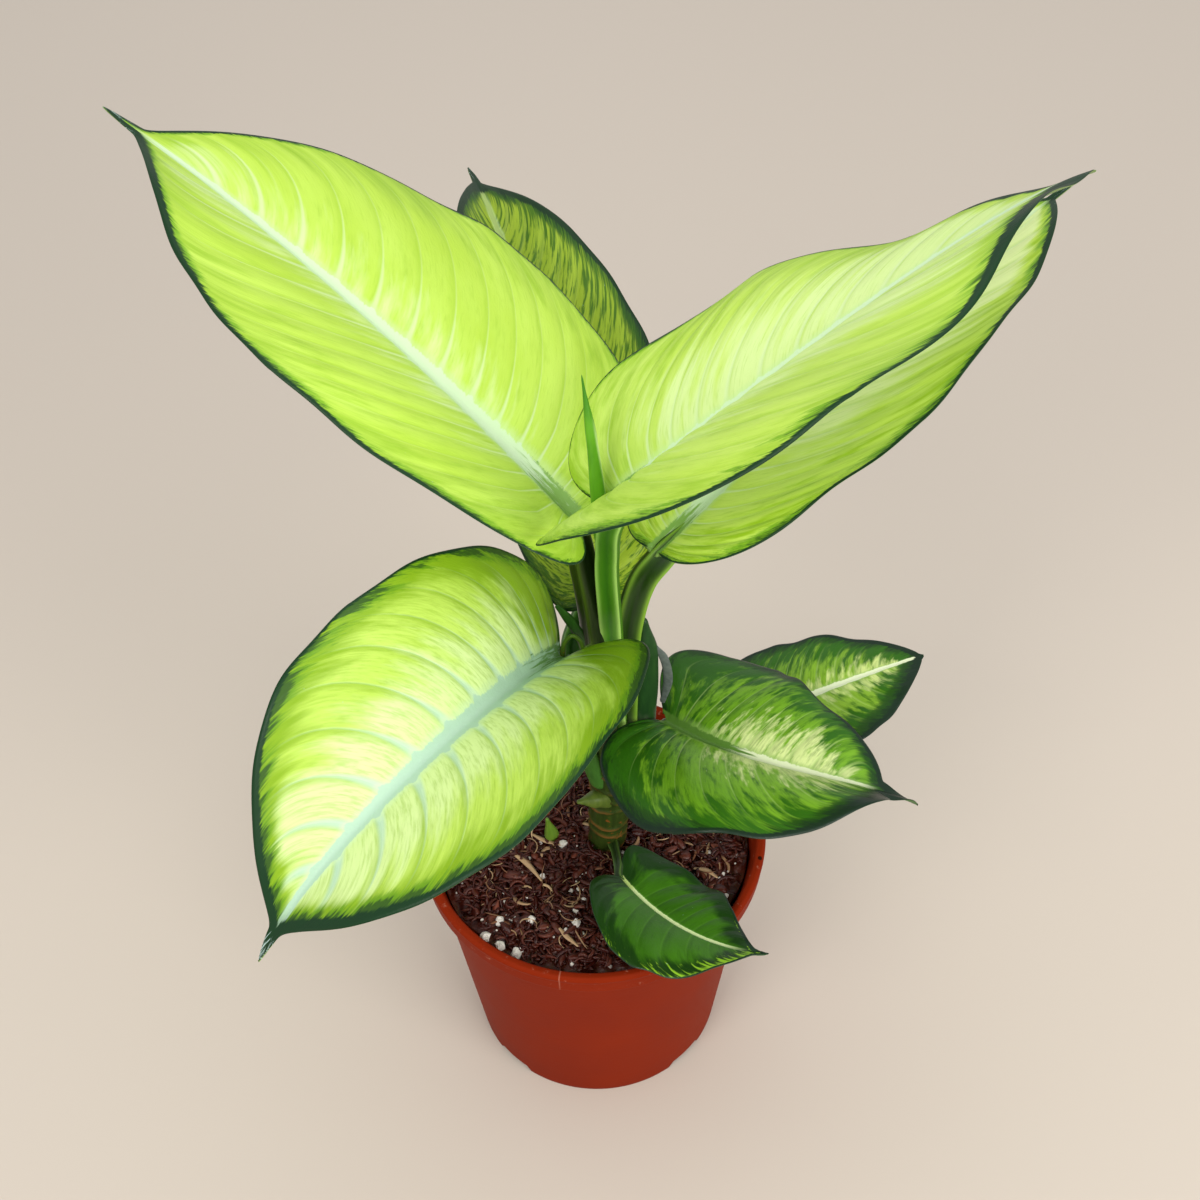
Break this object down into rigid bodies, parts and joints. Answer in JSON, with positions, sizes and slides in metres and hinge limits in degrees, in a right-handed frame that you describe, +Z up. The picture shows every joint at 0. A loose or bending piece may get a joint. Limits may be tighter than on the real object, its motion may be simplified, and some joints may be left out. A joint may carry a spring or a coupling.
{
  "type": "potted dieffenbachia",
  "caption": "Young dieffenbachia with broad chartreuse leaves edged in dark green, on a short cane in a round terracotta-coloured plastic nursery pot of bark mix.",
  "frame": {"origin": "middle of the pot's underside, at the flat centre pad, on the surface that the pot stands on", "axes": "+Z up along the pot's axis; +X to the right and -Y towards the camera in the picture"},
  "size_m": [0.3755, 0.3503, 0.4387],
  "materials": {
    "pot": "satin injection-moulded polypropylene, terracotta colour",
    "potting_mix": "matt damp bark and coir with white perlite",
    "cane": "waxy green stem with leaf scars",
    "leaf_spear": "waxy rolled leaf",
    "leaf_pale": "waxy chartreuse blade with a dark green margin",
    "leaf_mottled": "waxy green blade with cream streaks and a dark margin",
    "leaf_green": "waxy deep green blade with a pale midrib"
  },
  "bodies": {
    "root": {"pot": "pot", "potting_mix": "potting_mix", "cane": "cane", "bud": "cane", "leaf_spear": "leaf_spear", "leaf_upper_left": "leaf_pale", "leaf_upper_right": "leaf_pale", "leaf_right_behind": "leaf_pale", "leaf_lower_left": "leaf_pale", "leaf_back": "leaf_mottled", "leaf_middle_right": "leaf_mottled", "leaf_far_right": "leaf_mottled", "leaf_front_small": "leaf_green"}
  },
  "joints": []
}
